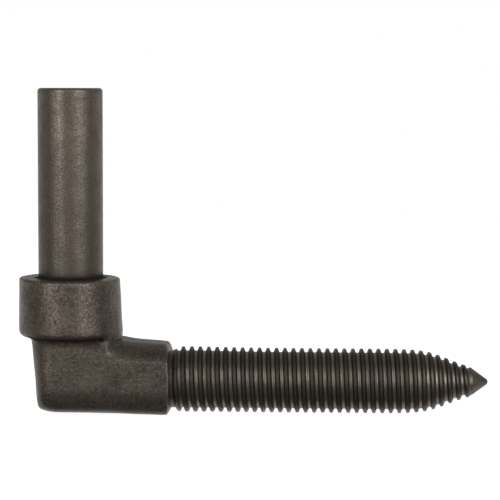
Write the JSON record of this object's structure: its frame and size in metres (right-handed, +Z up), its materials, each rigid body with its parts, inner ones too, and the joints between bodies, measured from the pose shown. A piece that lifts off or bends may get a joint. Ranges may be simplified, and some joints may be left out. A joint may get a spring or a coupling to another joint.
{
  "type": "gate hinge pin",
  "caption": "Forged steel gate hinge pin: an upright round pin on a collar carries the hinge eye, and an elbow below leads to a pointed threaded shank that screws into a gate post.",
  "frame": {"origin": "on the pin's axis at the collar's top face, where the hinge eye rests", "axes": "+Z up along the pin, +X along the threaded shank towards its point"},
  "size_m": [0.1382, 0.0308, 0.0961],
  "materials": {
    "forged_steel": "dark and plain as it was forged, with drawn streaks on the pin and fine pits on the collar and elbow"
  },
  "bodies": {
    "root": {"hinge_pin": "forged_steel"}
  },
  "joints": []
}
